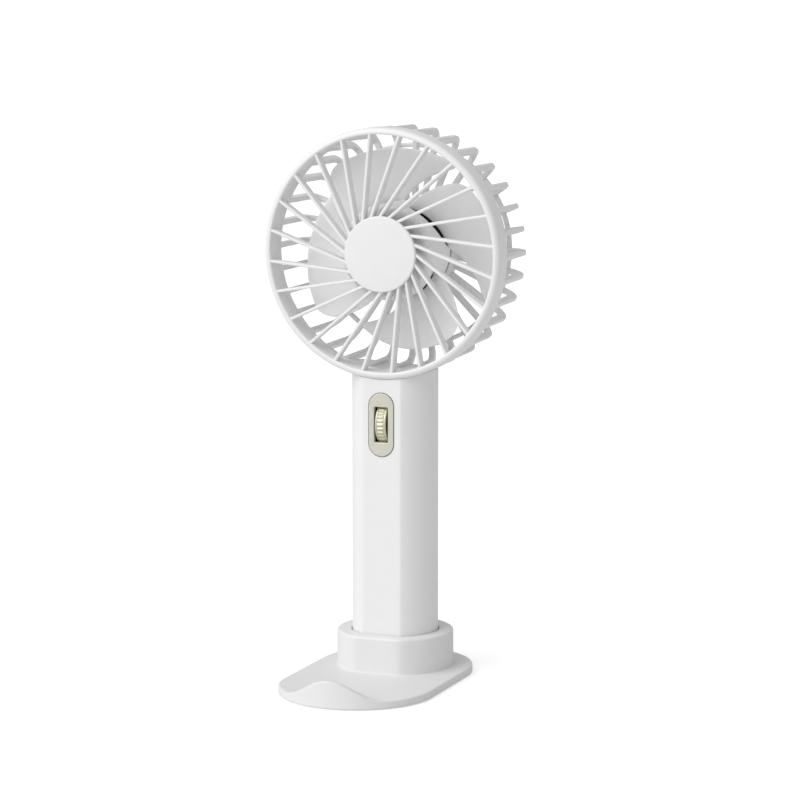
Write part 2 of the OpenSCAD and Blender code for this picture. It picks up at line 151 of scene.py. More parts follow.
class Finish:
    # one material and the nodes in it
    def __init__(self, name):
        self.material = bpy.data.materials.new(name)
        self.material.use_nodes = True
        self.tree = self.material.node_tree
        self.tree.nodes.clear()

    def node(self, kind, settings=None, sockets=None, out=0):
        made = self.tree.nodes.new(kind)
        for key, value in (settings or {}).items():
            setattr(made, key, value)
        for key, value in (sockets or {}).items():
            if isinstance(value, Wire):
                self.tree.links.new(value.socket, made.inputs[key])
            else:
                made.inputs[key].default_value = value
        return Wire(self, made.outputs[out])

    def place(self):
        return self.node("ShaderNodeTexCoord", out="Object")

    def noise(self, size, detail, place=None):
        # soft noise whose blobs are about size millimetres wide
        sockets = {"Vector": place or self.place(), "Scale": 1 / (size * mm), "Detail": detail}
        return self.node("ShaderNodeTexNoise", {"noise_dimensions": "3D"}, sockets, "Fac")

    def stretched(self, scale):
        return self.node("ShaderNodeVectorMath", {"operation": "MULTIPLY"}, {0: self.place(), 1: scale})

    def blend(self, share, first, second):
        # slots 6 and 7 of a Mix node are its two colours, and its third output is the mixed colour
        return self.node("ShaderNodeMix", {"data_type": "RGBA"},
                         {0: share, 6: (*first, 1), 7: (*second, 1)}, 2)

    def bump(self, height, strength, distance):
        return self.node("ShaderNodeBump", None,
                         {"Height": height, "Strength": strength, "Distance": distance * mm})

    def done(self, sockets):
        shader = self.node("ShaderNodeBsdfPrincipled", None, sockets)
        out = self.tree.nodes.new("ShaderNodeOutputMaterial")
        self.tree.links.new(shader.socket, out.inputs["Surface"])
        return self.material


def moulded(name, look):
    # satin moulding: a faint cloudiness in its colour, a fine spark-eroded grain, and slow waves
    f = Finish(name)
    cloud = f.noise(look["cloud"], 3)
    grain = f.noise(look["grain"], 2)
    wave = f.noise(look["wave"], 1)
    colour = f.blend(cloud, look["dark"], look["light"])
    height = grain * look["grainHeight"] + wave * look["waveHeight"]
    spread = look["roughSpread"]
    rough = look["rough"] + (cloud - 0.5) * spread + (grain - 0.5) * spread
    return f.done({"Base Color": colour, "Roughness": rough, "Normal": f.bump(height, 1, 1),
                   "IOR": look["ior"], "Coat Weight": look["coat"], "Coat Roughness": 0.3})


def grey(value):
    return (value, value, value)


shellLook = {
    "dark": grey(0.80), "light": grey(0.835), "cloud": 9, "grain": 0.32, "wave": 5, "grainHeight": 0.012,
    "waveHeight": 0.02, "rough": 0.42, "roughSpread": 0.12, "ior": 1.47, "coat": 0.0,
}


def plastic(name, dark, light, **changes):
    return moulded(name, {**shellLook, "dark": dark, "light": light, **changes})


finishes = {
    "shell": moulded("whiteShell", shellLook),
    "stand": plastic("whiteStand", grey(0.75), grey(0.785)),
    "grille": moulded("whiteGrille", {**shellLook, "rough": 0.38, "cloud": 6}),
    # impeller and blades: the same white plastic painted lighter than the shell, as painted light that makes
    # up for the shade the grille and cage cast on them
    "blade": plastic("bladeWhitePaintedLight", grey(0.93), grey(0.955), rough=0.46, grain=0.4, cloud=7),
    "frame": plastic("greyFrame", grey(0.05), grey(0.08), rough=0.5),
    "black": plastic("blackBracket", grey(0.02), (0.035, 0.035, 0.036), rough=0.5),
    "blue": plastic("sensorBlue", (0.05, 0.08, 0.25), (0.07, 0.11, 0.31)),
    "lead": plastic("leadRed", (0.5, 0.03, 0.02), (0.6, 0.05, 0.03), rough=0.35),
    "wrap": plastic("cellWrap", (0.05, 0.2, 0.42), (0.08, 0.27, 0.52), rough=0.25, coat=0.4),
    "lens": plastic("lampLens", (0.72, 0.78, 0.72), (0.8, 0.86, 0.8), rough=0.15, grainHeight=0.002),
    "rubber": plastic("padRubber", grey(0.55), grey(0.63), grain=0.7, grainHeight=0.05, rough=0.75),
    "magnet": plastic("magnetGrey", (0.06, 0.06, 0.065), (0.1, 0.1, 0.105), rough=0.6),
}


def metal(name, look):
    # drawn or turned metal: fine lines along one direction, with small stains
    f = Finish(name)
    lines = f.noise(look["lineWidth"], 4, f.stretched(look["along"]))
    stain = f.noise(look["stain"], 3)
    colour = f.blend(lines * 0.5 + stain * 0.5, look["dark"], look["light"])
    rough = look["rough"] + (lines - 0.5) * look["lineRough"] + (stain - 0.5) * look["stainRough"]
    return f.done({"Base Color": colour, "Metallic": look["metallic"], "Roughness": rough,
                   "Normal": f.bump(lines, 0.6, look["lineHeight"])})


steelLook = {
    "dark": (0.42, 0.42, 0.43), "light": (0.62, 0.62, 0.64), "along": (1, 0.05, 1), "lineWidth": 0.25,
    "stain": 3, "rough": 0.3, "lineRough": 0.25, "stainRough": 0.1, "lineHeight": 0.01, "metallic": 1.0,
}


def steel(name, **changes):
    return metal(name, {**steelLook, **changes})


finishes.update({
    "screw": steel("screwSteel"),
    "weight": steel("weightSteel", along=(1, 0.04, 1), rough=0.4),
    "pin": steel("pinSteel", along=(0.05, 1, 1), rough=0.22),
    "port": steel("portSteel", along=(1, 0.08, 1), rough=0.26),
    "strip": steel("nickelStrip", light=(0.74, 0.72, 0.68), along=(0.1, 1, 1)),
    "flange": steel("flangeMetal", light=(0.7, 0.7, 0.71), rough=0.35),
    "bush": steel("bushBronze", dark=(0.36, 0.21, 0.08), light=(0.55, 0.36, 0.15)),
    "canBlack": steel("canBlack", dark=(0.02, 0.02, 0.021), light=(0.045, 0.045, 0.046), metallic=0.2,
                      rough=0.45),
})


def champagne(name, look):
    # satin metallic paint: tiny flakes that catch the light under a thin clear coat
    f = Finish(name)
    flake = f.node("ShaderNodeTexVoronoi", {"feature": "F1"},
                   {"Vector": f.place(), "Scale": 1 / (look["flake"] * mm)}, "Color")
    sparkle = f.node("ShaderNodeSeparateColor", None, {"Color": flake})
    haze = f.noise(look["haze"], 3)
    colour = f.blend(haze * 0.6 + sparkle * 0.4, look["dark"], look["light"])
    rough = look["rough"] + (sparkle - 0.5) * look["flakeRough"]
    height = sparkle * look["flakeHeight"] + haze * look["hazeHeight"]
    return f.done({"Base Color": colour, "Metallic": look["metallic"], "Roughness": rough,
                   "Normal": f.bump(height, 1, 1), "Coat Weight": look["coat"], "Coat Roughness": 0.25})


trimLook = {
    "dark": (0.60, 0.588, 0.50), "light": (0.70, 0.688, 0.595), "flake": 0.12, "haze": 4, "rough": 0.42,
    "flakeRough": 0.2, "flakeHeight": 0.004, "hazeHeight": 0.01, "metallic": 0.35, "coat": 0.15,
}
wheelLook = {
    **trimLook, "dark": (0.56, 0.53, 0.40), "light": (0.70, 0.67, 0.52), "metallic": 0.5, "rough": 0.36,
    "coat": 0.2,
}
finishes["trim"] = champagne("beigeTrim", trimLook)
finishes["wheel"] = champagne("beigeWheel", wheelLook)


def copperCore(name):
    # enamelled winding turns round the teeth of a laminated core
    f = Finish(name)
    sockets = {"Vector": f.place(), "Scale": 1 / (1.6 * mm), "Distortion": 0.6, "Detail": 1}
    turns = f.node("ShaderNodeTexWave", {"wave_type": "BANDS", "bands_direction": "Y"}, sockets, "Fac")
    stain = f.noise(2, 3)
    colour = f.blend(turns * 0.7 + stain * 0.3, (0.22, 0.07, 0.03), (0.72, 0.33, 0.14))
    return f.done({"Base Color": colour, "Metallic": 0.8, "Roughness": 0.3 + stain * 0.2,
                   "Normal": f.bump(turns, 0.8, 0.1)})


def circuitBoard(name):
    # green resist over copper tracks
    f = Finish(name)
    sockets = {"Vector": f.place(), "Scale": 1 / (2.4 * mm), "Mortar Size": 0.04, "Mortar Smooth": 0.2}
    tracks = f.node("ShaderNodeTexBrick", {"offset": 0.5}, sockets, "Fac")
    weave = f.noise(0.5, 2)
    colour = f.blend(tracks, (0.02, 0.16, 0.07), (0.07, 0.36, 0.16))
    return f.done({"Base Color": colour, "Roughness": 0.3 + weave * 0.15,
                   "Normal": f.bump(tracks, 0.5, 0.03)})


finishes["copper"] = copperCore("statorCopper")
finishes["board"] = circuitBoard("boardGreen")


def paleFloor():
    # white sheet: it glows paler to the camera than to the fan that stands on it
    f = Finish("paleFloor")
    patch = f.noise(60, 3)
    seen = f.node("ShaderNodeLightPath", None, {}, "Is Camera Ray")
    low, high = studio["floorColour"] - 0.01, studio["floorColour"] + 0.01
    glow = f.blend(seen, (studio["floorGlow"],) * 3, (studio["floorShown"],) * 3)
    return f.done({"Base Color": f.blend(patch, (low,) * 3, (high,) * 3), "Roughness": 0.9 + patch * 0.05,
                   "Emission Color": glow, "Emission Strength": 1.0})


def makeFloor():
    side = studio["floorSize"] * mm
    corners = [(-side, -side, 0), (side, -side, 0), (side, side, 0), (-side, side, 0)]
    mesh = bpy.data.meshes.new("floor")
    mesh.from_pydata(corners, [], [(0, 1, 2, 3)])
    mesh.materials.append(paleFloor())
    link(bpy.data.objects.new("floor", mesh))


makeFloor()
print("finishes are made")

class Shape:
    # points in millimetres and the faces between them
    def __init__(self):
        self.points, self.faces = [], []

    def loft(self, rings, tube=False):
        # skin over rings of one count; tube joins the last ring to the first, or else both ends are closed
        start, count = len(self.points), len(rings[0])
        for ring in rings:
            self.points += [Vector(p) for p in ring]
        for i in range(len(rings) if tube else len(rings) - 1):
            a, b = start + i * count, start + (i + 1) % len(rings) * count
            for j in range(count):
                k = (j + 1) % count
                self.faces.append((a + j, a + k, b + k, b + j))
        if not tube:
            last = start + (len(rings) - 1) * count
            self.faces.append(tuple(start + j for j in reversed(range(count))))
            self.faces.append(tuple(last + j for j in range(count)))
        return self

    def lathe(self, outline, tube=True, count=144):
        # turns (radius, y) points about the rotor's axis
        return self.loft([[clockPoint(360 * i / count, radius, y) for i in range(count)]
                          for radius, y in outline], tube)


def clockPoint(angle, radius, y, across=0):
    # angle runs clockwise from the top, seen from the front
    a = math.radians(angle)
    return Vector((radius * math.sin(a) + across * math.cos(a), y,
                   headZ + radius * math.cos(a) - across * math.sin(a)))


def rounded(corners, steps=5):
    # closed outline with an arc at each (x, y, radius) corner
    out = []
    for i, (x, y, radius) in enumerate(corners):
        here = Vector((x, y))
        if radius == 0:
            out.append(here)
            continue
        back = (Vector(corners[i - 1][:2]) - here).normalized()
        ahead = (Vector(corners[(i + 1) % len(corners)][:2]) - here).normalized()
        half = back.angle(ahead) / 2
        middle = here + (back + ahead).normalized() * radius / math.sin(half)
        first = here + back * radius / math.tan(half) - middle
        last = here + ahead * radius / math.tan(half) - middle
        span = first.angle(last)
        for s in range(steps + 1):
            t = s / steps
            along = first * math.sin((1 - t) * span) + last * math.sin(t * span)
            out.append(middle + along / math.sin(span))
    return out


def quarter(steps, first=0):
    # quarter of a round edge: how far it has gone sideways and how far it has still to go up, from 0 to 1
    turns = [math.pi / 2 * step / steps for step in range(first, steps + 1)]
    return [(1 - math.cos(a), 1 - math.sin(a)) for a in turns]


def makeObject(name, shape, finish, sharp=40):
    mesh = bpy.data.meshes.new(name)
    mesh.from_pydata([p * mm for p in shape.points], [], shape.faces)
    tidyMesh(mesh, sharp)
    mesh.materials.append(finishes[finish])
    return link(bpy.data.objects.new(name, mesh))


def tidyMesh(mesh, sharp):
    work = bmesh.new()
    work.from_mesh(mesh)
    bmesh.ops.remove_doubles(work, verts=work.verts, dist=0.002 * mm)
    bmesh.ops.recalc_face_normals(work, faces=work.faces)
    work.to_mesh(mesh)
    work.free()
    mesh.shade_smooth()
    mesh.set_sharp_from_angle(angle=math.radians(sharp))


def cutBy(obj, cutters, sharp):
    # cuts closed shapes out of obj, one after the other
    for cutter in cutters:
        block = makeObject(obj.name + "Cutter", cutter, "shell")
        step = obj.modifiers.new("cut", "BOOLEAN")
        step.operation, step.solver, step.object = "DIFFERENCE", "EXACT", block
        bpy.context.view_layer.update()
        seen = obj.evaluated_get(bpy.context.evaluated_depsgraph_get())
        result = bpy.data.meshes.new_from_object(seen)
        obj.modifiers.clear()
        obj.data = result
        bpy.data.objects.remove(block)
    tidyMesh(obj.data, sharp)


def joinInto(obj, other):
    work = bmesh.new()
    work.from_mesh(obj.data)
    work.from_mesh(other.data)
    work.to_mesh(obj.data)
    work.free()
    bpy.data.objects.remove(other)


def addPiece(obj, body, slotName, *replaced):
    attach(obj, body)
    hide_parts(*replaced)
    print("made", obj.name)


def faceted(angles, radius, flat, crisp):
    # round bar with one flat face in front; crisp sets how tight the two edges of the flat are
    out = []
    for a in angles:
        reach = radius
        if math.cos(a) > 0.05:
            reach = (radius ** -crisp + (flat / math.cos(a)) ** -crisp) ** (-1 / crisp)
        out.append((reach * math.sin(a), -reach * math.cos(a)))
    return out


def barAngles(count, corner):
    # angles from the middle of the flat, closer together near its two edges
    fine = 3600
    weight = []
    for i in range(fine):
        a = 360 * (i + 0.5) / fine
        off = min(abs(a - corner), abs(360 - a - corner))
        weight.append(1 + 7 * math.exp(-(off / 4) ** 2))
    total, passed, out = math.fsum(weight), 0, []
    for i in range(fine):
        if passed >= total * len(out) / count:
            out.append(math.radians(360 * i / fine))
        passed += weight[i]
    return out[:count]


# The stand: one moulding with a plate, a lip in front and a collar round the handle.

standPlan = {
    "plateThick": 3.1, "foot": 0.3, "footEdge": 0.35, "edge": 0.55,
    "lipHigh": 10.2, "lipThick": 2.4, "lipHalf": 19, "lipFillet": 3.2, "lipWall": 0.32, "lipLean": 0.07,
    "collarRadius": 21.2, "collarFlat": 19.4, "collarFillet": 0.3, "collarEdge": 0.95, "collarCrisp": 60,
    "socketGap": 0.35, "socketFloor": 3.4, "socketEdge": 0.35, "socketRim": 0.6,
    "padRoom": 24.9, "padDeep": 0.8, "weightRoom": 22.3, "weightDeep": 1.82,
    "noseSteps": 60, "legSteps": 20, "backSteps": 90,
}


def makeStand():
    p = standPlan
    radius = shellHigh.x
    noseY = shellLow.y + radius
    collarTop = shellHigh.z
    turns = [math.pi / 2 * i / p["noseSteps"] for i in range(p["noseSteps"])]

    def outline(r):
        # stadium, from the tip of the nose round to the right, over the back and down the left
        half = [(r * math.sin(t), noseY - r * math.cos(t)) for t in turns]
        half += [(r, noseY * (1 - i / p["legSteps"])) for i in range(p["legSteps"])]
        half += [(r * math.cos(t), r * math.sin(t))
                 for t in (math.pi / 2 * i / p["backSteps"] for i in range(p["backSteps"]))]
        return half + [(0, r)] + [(-x, y) for x, y in reversed(half[1:])]

    def rise(x, y):
        if y > noseY or abs(x) > p["lipHalf"]:
            return 0
        return (p["lipHigh"] - p["plateThick"]) * (1 + math.cos(math.pi * x / p["lipHalf"])) / 2

    def ring(inset, height):
        return [(x, y, height(x, y)) for x, y in outline(radius - inset)]

    def level(r, z):
        return [(x, y, z) for x, y in outline(r)]

    edge, thick, foot = p["edge"], p["plateThick"], p["foot"]
    sideLow = foot + p["footEdge"]
    rings = [level(p["weightRoom"], p["weightDeep"]), level(p["weightRoom"], p["padDeep"]),
             level(p["padRoom"], p["padDeep"]), level(p["padRoom"], foot),
             level(radius - 0.3, foot), level(radius - 0.08, foot + 0.1), level(radius, sideLow)]
    for t in (0.05, 0.35, 0.65, 0.95, 1):
        rings.append(ring(0, lambda x, y: sideLow + (thick + rise(x, y) - edge - sideLow) * t))
    for gone, toGo in quarter(5, 1):
        rings.append(ring(edge * gone, lambda x, y: thick + rise(x, y) - edge * toGo))
    rings.append(ring(edge + 0.1, lambda x, y: thick + rise(x, y)))

    # over the lip and down its inner face to the fillet on the plate
    lipThick, lipInner = p["lipThick"], 1 - p["lipLean"]
    for gone, toGo in quarter(5):
        share = 1 - p["lipLean"] * gone
        rings.append(ring(lipThick - edge * toGo, lambda x, y: thick + rise(x, y) * share))
    for t in (0.5, 1):
        share = lipInner + (p["lipWall"] - lipInner) * t
        rings.append(ring(lipThick + 0.02 * t, lambda x, y: thick + rise(x, y) * share))
    for gone, toGo in quarter(8, 1):
        rings.append(ring(lipThick + p["lipFillet"] * gone,
                          lambda x, y: thick + rise(x, y) * p["lipWall"] * toGo))
    inner = outline(radius - lipThick - p["lipFillet"] - 0.1)
    angles = [math.atan2(x, -y) for x, y in inner]

    def collar(r, flat, z):
        return [(x, y, z) for x, y in faceted(angles, r, flat, p["collarCrisp"])]

    def collarOff(off, z):
        return collar(p["collarRadius"] + off, p["collarFlat"] + off, z)

    # across the plate, up the collar, and down its bore
    fillet, top = p["collarFillet"], p["collarEdge"]
    start = collarOff(fillet, thick)
    for t in (0, 0.2, 0.4, 0.6, 0.8, 0.95):
        rings.append([(x + (u - x) * t, y + (v - y) * t, thick) for (x, y), (u, v, z) in zip(inner, start)])
    for gone, toGo in quarter(5):
        rings.append(collarOff(fillet * toGo, thick + fillet * gone))
    rings += [collarOff(0, thick + fillet + 0.3), collarOff(0, collarTop - top - 0.3)]
    for gone, toGo in quarter(7):
        rings.append(collarOff(-top * gone, collarTop - top * toGo))
    bore, boreFlat = sleeveHigh.x + p["socketGap"], -sleeveLow.y + p["socketGap"]
    rim, mouth = p["socketRim"], p["socketEdge"]
    rings.append(collar(bore + rim, boreFlat + rim, collarTop))
    for gone, toGo in quarter(4):
        rings.append(collar(bore + mouth * toGo, boreFlat + mouth * toGo, collarTop - mouth * gone))
    rings += [collar(bore, boreFlat, collarTop - 0.8), collar(bore, boreFlat, p["socketFloor"])]
    piece = makeObject("stand_shell_moulding", Shape().loft(rings), "stand")
    addPiece(piece, "stand", "white_shell", "stand_shell")


makeStand()

# The handle: its sleeve, the plate round the wheel, the wheel, the socket and two screws.

handlePlan = {
    "wall": 1.5, "edge": 0.3, "seamRadius": 45.06, "straightTo": 100, "levels": 48,
    "crisp": 150, "corner": 27.8, "around": 220,
    "trimGap": 0.3, "trimDeep": 1.0, "slotWidth": 7, "slotHeight": 19,
    "portWidth": 9.5, "portHeight": 3.9, "lampWidth": 1.9, "lampZ": 79,
    "screwX": 6.5, "screwZ": 105.0, "screwRadius": 1.45,
}


def capsule(width, height, angles):
    # upright outline with round ends, one (x, z) point for each direction
    r, half = width / 2, (height - width) / 2
    out = []
    for a in angles:
        s, c = math.sin(a), math.cos(a)
        reach = r / abs(s) if abs(s) > 1e-6 else 1e9
        if abs(reach * c) > half:
            reach = half * abs(c) + math.sqrt(r * r - half * half * s * s)
        out.append((reach * s, reach * c))
    return out


def boxedOutline(width, height, angles, crisp):
    # upright rectangle with small round corners; crisp sets how small
    out = []
    for a in angles:
        s, c = math.sin(a), math.cos(a)
        reach = (abs(2 * s / width) ** crisp + abs(2 * c / height) ** crisp) ** (-1 / crisp)
        out.append((reach * s, reach * c))
    return out


def roundHole(width, count):
    return capsule(width, width + 1e-4, evenAngles(count))


def prism(outline, y0, y1, z):
    return Shape().loft([[(x, y, z + up) for x, up in outline] for y in (y0, y1)])


def evenAngles(count):
    return [2 * math.pi * i / count for i in range(count)]


def sideways(outline):
    return [(up, x) for x, up in outline]


def makeSleeve():
    p = handlePlan
    radius, flat = sleeveHigh.x, -sleeveLow.y
    low = sleeveLow.z
    angles = barAngles(p["around"], p["corner"])

    def topOf(x):
        return headZ - math.sqrt(p["seamRadius"] ** 2 - x * x)

    def ring(off, height):
        return [(x, y, height(x)) for x, y in faceted(angles, radius - off, flat - off, p["crisp"])]

    edge, wall, straightTo = p["edge"], p["wall"], p["straightTo"]
    rings = [ring(wall, lambda x: low), ring(edge, lambda x: low), ring(0.08, lambda x: low + 0.08),
             ring(0, lambda x: low + edge)]
    for i in range(1, p["levels"] + 1):
        z = low + edge + (straightTo - low - edge) * i / p["levels"]
        rings.append(ring(0, lambda x: z))
    for t in (0.2, 0.4, 0.6, 0.8, 0.97, 1):
        rings.append(ring(0, lambda x: straightTo + (topOf(x) - edge - straightTo) * t))
    for gone, toGo in quarter(4, 1):
        rings.append(ring(edge * gone, lambda x: topOf(x) - edge * toGo))
    rings += [ring(wall - 0.1, topOf), ring(wall, lambda x: topOf(x) - 0.1)]
    for z in (straightTo, 60, 20):
        rings.append(ring(wall, lambda x: z))
    piece = makeObject("handle_sleeve_moulding", Shape().loft(rings, tube=True), "shell")

    # recess and slot for the wheel's plate in front; socket, lamp and screw holes in the back
    around = evenAngles(96)
    trimHole = [trimPlan[side] + 2 * p["trimGap"] for side in ("width", "height")]
    port = sideways(capsule(p["portHeight"], p["portWidth"], around))
    cutters = [
        prism(capsule(*trimHole, around), -flat - 2, -flat + p["trimDeep"], wheelAt.z),
        prism(capsule(p["slotWidth"], p["slotHeight"], around), -flat - 1, -flat + 3, wheelAt.z),
        prism(port, radius - 3, radius + 2, middleOf("charge_port").z),
        prism(roundHole(p["lampWidth"], 40), radius - 3, radius + 2, p["lampZ"]),
    ]
    for side in (-1, 1):
        hole = [(side * p["screwX"] + x, z) for x, z in roundHole(2 * p["screwRadius"], 48)]
        cutters.append(prism(hole, radius - 5, radius + 2, p["screwZ"]))
    cutBy(piece, cutters, 30)
    addPiece(piece, "fan_body", "white_shell", "handle_sleeve")


trimPlan = {
    "width": 9.5, "height": 22.9, "proud": 0.35, "edge": 0.22, "backDeep": 0.5,
    "slotWidth": 5.3, "slotHeight": 12.9, "slotEdge": 0.25, "slotCrisp": 26,
    "neckWidth": 6.9, "neckHeight": 18.9, "neckDeep": 1.35,
}


def makeTrim():
    # plate round the wheel, let into the flat of the handle
    p = trimPlan
    flat = sleeveLow.y
    angles = evenAngles(200)
    front = flat - p["proud"]

    def level(outline, y):
        return [(x, y, wheelAt.z + z) for x, z in outline]

    def out(off, y):
        return level(capsule(p["width"] - 2 * off, p["height"] - 2 * off, angles), y)

    def slot(off, y):
        return level(boxedOutline(p["slotWidth"] + 2 * off, p["slotHeight"] + 2 * off, angles,
                                  p["slotCrisp"]), y)

    edge, inEdge = p["edge"], p["slotEdge"]
    back, neckBack = flat + p["backDeep"], flat + p["neckDeep"]
    neck = capsule(p["neckWidth"], p["neckHeight"], angles)
    rings = [level(neck, neckBack), level(neck, back), out(0, back), out(0, front + edge + 0.05)]
    for gone, toGo in quarter(4):
        rings.append(out(edge * gone, front + edge * toGo))
    rings += [out(edge + 0.1, front), slot(inEdge + 0.1, front)]
    for gone, toGo in quarter(4):
        rings.append(slot(inEdge * toGo, front + inEdge * gone))
    rings.append(slot(0, neckBack))
    piece = makeObject("switch_trim_plate", Shape().loft(rings, tube=True), "trim")
    addPiece(piece, "fan_body", "beige_trim", "switch_bezel")


wheelPlan = {
    "radius": 8.25, "width": 4.1, "ridges": 34, "ridgeDeep": 0.32, "ridgePower": 1.6, "perRidge": 12,
    "bandHalf": 1.15, "rimDrop": 0.16, "rimEdge": 0.4, "rimWide": 1.6, "boreRadius": 0.8, "boreDeep": 0.3,
    "bossRadius": 2.6, "dish": 0.5,
}


def makeWheel():
    # thumb wheel: ridges across its middle, a plain rim on each side
    p = wheelPlan
    count = p["ridges"] * p["perRidge"]
    half = p["width"] / 2

    def ring(x, radius, ridge=0):
        out = []
        for i in range(count):
            a = 2 * math.pi * i / count
            dip = (0.5 + 0.5 * math.cos(p["ridges"] * a)) ** p["ridgePower"]
            r = radius - p["ridgeDeep"] * ridge * dip
            out.append((wheelAt.x + x, wheelAt.y + r * math.sin(a), wheelAt.z + r * math.cos(a)))
        return out

    outer, rim = p["radius"], p["radius"] - p["rimDrop"]
    boss, dish, edge = p["bossRadius"], half - p["dish"], p["rimEdge"]
    side = [(half - p["boreDeep"], p["boreRadius"]), (half - p["boreDeep"], boss - 1), (half, boss - 0.6),
            (half, boss), (dish, boss + 0.6), (dish, rim - p["rimWide"]), (half - 0.05, rim - 1.1),
            (half, rim - 0.8), (half, rim - edge)]
    side += [(half - edge * gone, rim - edge * toGo) for gone, toGo in quarter(5, 1)]
    band = p["bandHalf"]
    side += [(band + 0.3, rim), (band + 0.18, rim - 0.02), (band + 0.1, rim - 0.12)]
    knurl = [(band, outer - 0.1, 0.5), (band - 0.12, outer, 1), (band / 2, outer, 1)]
    rings = [ring(-x, r) for x, r in side]
    rings += [ring(-x, r, ridge) for x, r, ridge in knurl] + [ring(0, outer, 1)]
    rings += [ring(x, r, ridge) for x, r, ridge in reversed(knurl)]
    rings += [ring(x, r) for x, r in reversed(side)]
    piece = makeObject("speed_wheel_knurled", Shape().loft(rings, tube=True), "wheel", 50)
    addPiece(piece, "wheel", "beige_wheel", "speed_wheel")


socketPlan = {
    "width": 8.9, "height": 3.3, "wall": 0.3, "length": 9, "deep": 7.0,
    "tongueWidth": 6.4, "tongueThick": 0.7, "tongueLength": 6.0, "tongueSunk": 1.2,
    "contacts": 12, "pitch": 0.5, "contactWidth": 0.26, "contactProud": 0.04,
}


def makeSocket():
    # charging socket in the back: drawn steel shell with a contact tongue
    p = socketPlan
    at = middleOf("charge_port")
    back = boxOf("charge_port")[1].y
    angles = evenAngles(120)

    def ring(off, y):
        return [(x, y, at.z + z)
                for x, z in sideways(capsule(p["height"] - 2 * off, p["width"] - 2 * off, angles))]

    wall = p["wall"]
    rings = [ring(0, back - p["length"]), ring(0, back - 0.1), ring(0.05, back - 0.02), ring(0.12, back),
             ring(wall - 0.1, back), ring(wall, back - 0.12), ring(wall, back - p["deep"])]
    shell = makeObject("charge_socket_shell", Shape().loft(rings), "port")
    addPiece(shell, "fan_body", "port_steel", "charge_port")

    half, thick, tip = p["tongueWidth"] / 2, p["tongueThick"] / 2, back - p["tongueSunk"]
    section = rounded([(-half, -thick, 0.2), (half, -thick, 0.2), (half, thick, 0.2), (-half, thick, 0.2)], 3)
    steps = ((1, tip - p["tongueLength"]), (1, tip - 0.25), (0.93, tip - 0.05), (0.85, tip))
    tongue = Shape().loft([[(x * s, y, at.z + z * s) for x, z in section] for s, y in steps])
    side, proud = p["contactWidth"] / 2, thick + p["contactProud"]
    for i in range(p["contacts"]):
        x = (i - (p["contacts"] - 1) / 2) * p["pitch"]
        y0, y1 = tip - 3.2, tip - 0.6
        pad = [(x - side, y0), (x + side, y0), (x + side, y1), (x - side, y1)]
        tongue.loft([[(u, v, at.z + z) for u, v in pad] for z in (-proud, proud)])
    addPiece(makeObject("charge_socket_tongue", tongue, "black"), "fan_body", "bracket_black")


screwPlan = {"shankRadius": 0.9, "headRadius": 1.4, "headHigh": 0.9, "crossLong": 1.5, "crossWide": 0.36,
             "crossDeep": 0.45}


def makeBackScrews():
    # two small cross-head screws at the top of the handle's back
    p = screwPlan
    x, z = handlePlan["screwX"], handlePlan["screwZ"]
    low, high = boxOf("sleeve_screws")
    top, shank, head = high.y, p["shankRadius"], p["headRadius"]
    neck = top - p["headHigh"]
    profile = [(shank, low.y), (shank, neck - 0.1), (head - 0.05, neck), (head, top - 0.4),
               (head - 0.15, top - 0.12), (head - 0.6, top)]
    heads = Shape()
    for side in (-1, 1):
        heads.loft([[(side * x + r * math.cos(a), y, z + r * math.sin(a)) for a in evenAngles(40)]
                    for r, y in profile])
    piece = makeObject("sleeve_screw_heads", heads, "screw")
    cross = []
    for side in (-1, 1):
        for w, h in ((p["crossLong"], p["crossWide"]), (p["crossWide"], p["crossLong"])):
            bar = [(side * x + sx * w / 2, sz * h / 2) for sx, sz in ((-1, -1), (1, -1), (1, 1), (-1, 1))]
            cross.append(prism(bar, top - p["crossDeep"], top + 1, z))
    cutBy(piece, cross, 30)
    addPiece(piece, "fan_body", "screw_steel", "sleeve_screws")


makeSleeve()
makeTrim()
makeWheel()
makeSocket()
makeBackScrews()

# The head: front grille, rear cage and motor cover.

grillePlan = {
    "radius": 45.0, "ringThick": 2.45, "ringSunk": 0.4, "outerEdge": 1.7, "innerEdge": 0.7, "backEdge": 0.2,
    "discRadius": 13.6, "discThick": 1.6, "discEdge": 0.55, "bossRadius": 11.6, "bossDeep": 4.2,
    "spokes": 24, "spokeWide": 1.15, "spokeBackWide": 0.95, "spokeFront": -14.8, "spokeDeep": 4,
    "spokeEdge": 0.42, "spokeUnderDisc": 2.6, "spokeInRing": 0.9, "offset": 7.9, "turn": -5.76, "leanAt": 3,
}


